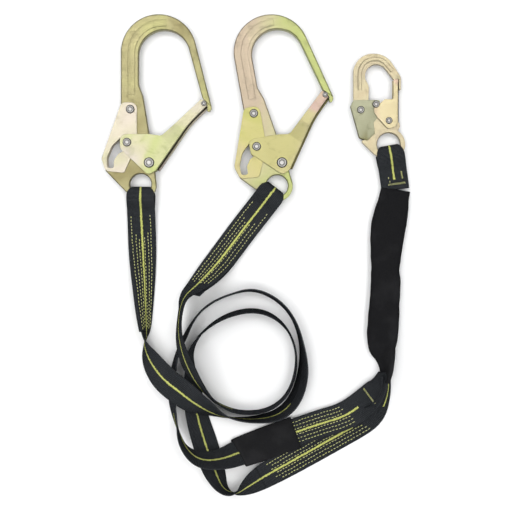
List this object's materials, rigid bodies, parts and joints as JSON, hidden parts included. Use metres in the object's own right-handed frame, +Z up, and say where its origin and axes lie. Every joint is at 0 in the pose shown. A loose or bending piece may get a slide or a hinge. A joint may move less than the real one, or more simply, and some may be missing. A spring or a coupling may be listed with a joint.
{
  "type": "shock absorbing lanyard",
  "caption": "Twin-leg fall arrest lanyard of stitched webbing with large rebar hooks, a snap hook and a covered tear-web shock pack.",
  "frame": {"origin": "centre of the footprint of everything but the two free legs, on the floor it lies on", "axes": "+Z up from the floor, +Y from the loop of webbing towards the hooks, +X from the rebar hooks towards the snap hook"},
  "size_m": [0.3854, 0.6047, 0.0692],
  "materials": {
    "left_body_plating": "yellow zinc plate, satin",
    "left_gate_plating": "yellow zinc plate, satin, greenish",
    "left_lever_plating": "yellow zinc plate, satin, pale",
    "right_body_plating": "yellow zinc plate, satin, pinkish",
    "right_gate_plating": "yellow zinc plate, satin",
    "right_lever_plating": "yellow zinc plate, satin",
    "snap_body_plating": "yellow zinc plate, iridescent",
    "snap_gate_plating": "yellow zinc plate, pinkish",
    "snap_lever_plating": "yellow zinc plate, grey-green",
    "rivet_steel": "bright",
    "spring_steel": "drawn wire",
    "leg_webbing": "black ribbed webbing with a lime centre stripe",
    "sewn_webbing": "black webbing, stitched in lime thread",
    "sleeve_fabric": "black woven tube",
    "cover_fabric": "matte black knit",
    "tear_webbing": "undyed webbing"
  },
  "bodies": {
    "lanyard": {"left_leg_webbing": "leg_webbing", "right_leg_webbing": "leg_webbing", "left_eye_strap": "sewn_webbing", "right_eye_strap": "sewn_webbing", "snap_eye_strap": "sewn_webbing", "upper_junction_strap": "sewn_webbing", "lower_junction_strap": "sewn_webbing", "label_sleeve": "sleeve_fabric", "absorber_cover": "cover_fabric", "tear_web_core": "tear_webbing", "backup_web": "tear_webbing"},
    "left_hook": {"left_hook_frame": "left_body_plating", "left_gate_rivet": "rivet_steel", "left_lever_rivet": "rivet_steel", "left_gate_spring": "spring_steel", "left_lever_spring": "spring_steel"},
    "left_gate": {"left_gate": "left_gate_plating", "left_gate_tail_pin": "rivet_steel", "left_gate_nose_pin": "rivet_steel"},
    "left_lever": {"left_lock_lever": "left_lever_plating"},
    "right_hook": {"right_hook_frame": "right_body_plating", "right_gate_rivet": "rivet_steel", "right_lever_rivet": "rivet_steel", "right_gate_spring": "spring_steel", "right_lever_spring": "spring_steel"},
    "right_gate": {"right_gate": "right_gate_plating", "right_gate_tail_pin": "rivet_steel", "right_gate_nose_pin": "rivet_steel"},
    "right_lever": {"right_lock_lever": "right_lever_plating"},
    "snap_hook": {"snap_hook_frame": "snap_body_plating", "snap_gate_rivet": "rivet_steel", "snap_lever_rivet": "rivet_steel", "snap_gate_spring": "spring_steel", "snap_lever_spring": "spring_steel"},
    "snap_gate": {"snap_gate": "snap_gate_plating"},
    "snap_lever": {"snap_lock_lever": "snap_lever_plating", "snap_latch_pin": "rivet_steel"}
  },
  "joints": [
    {"name": "left_hook_pivot", "type": "hinge", "parent": "lanyard", "child": "left_hook", "pos_m": [-0.1435, 0.0697, 0.0115], "axis": [1, 0, 0], "range_deg": [0, 75], "deforming": ["left_eye_strap"]},
    {"name": "left_gate_hinge", "type": "hinge", "parent": "left_hook", "child": "left_gate", "pos_m": [-0.1326, 0.1132, 0.0115], "axis": [0, 0, 1], "range_deg": [0, 34], "stiffness_Nm_per_rad": 0.4, "springref_deg": -11.46},
    {"name": "left_lever_hinge", "type": "hinge", "parent": "left_hook", "child": "left_lever", "pos_m": [-0.15625, 0.17995, 0.0115], "axis": [0, 0, 1], "range_deg": [0, 10]},
    {"name": "right_hook_pivot", "type": "hinge", "parent": "lanyard", "child": "right_hook", "pos_m": [0.01698, 0.07159, 0.0115], "axis": [0.7944, -0.6074, 0], "range_deg": [0, 75], "deforming": ["right_eye_strap"]},
    {"name": "right_gate_hinge", "type": "hinge", "parent": "right_hook", "child": "right_gate", "pos_m": [0.03295, 0.1132, 0.0115], "axis": [0, 0, 1], "range_deg": [0, 34], "stiffness_Nm_per_rad": 0.4, "springref_deg": -11.46},
    {"name": "right_lever_hinge", "type": "hinge", "parent": "right_hook", "child": "right_lever", "pos_m": [-0.00215, 0.17471, 0.0115], "axis": [0, 0, 1], "range_deg": [0, 10]},
    {"name": "snap_hook_pivot", "type": "hinge", "parent": "lanyard", "child": "snap_hook", "pos_m": [0.16965, 0.11922, 0.0095], "axis": [0.9848, 0.1736, 0], "range_deg": [0, 75], "deforming": ["snap_eye_strap"]},
    {"name": "snap_gate_hinge", "type": "hinge", "parent": "snap_hook", "child": "snap_gate", "pos_m": [0.1666, 0.166, 0.0095], "axis": [0, 0, 1], "range_deg": [0, 22], "stiffness_Nm_per_rad": 0.2, "springref_deg": -11.46},
    {"name": "snap_lever_hinge", "type": "hinge", "parent": "snap_hook", "child": "snap_lever", "pos_m": [0.1315, 0.1796, 0.0095], "axis": [0, 0, 1], "range_deg": [0, 10]}
  ],
  "couplings": [
    {"joint": "left_lever_hinge", "follows": "left_gate_hinge", "ratio": 0.29},
    {"joint": "right_lever_hinge", "follows": "right_gate_hinge", "ratio": 0.29},
    {"joint": "snap_lever_hinge", "follows": "snap_gate_hinge", "ratio": 0.45}
  ]
}
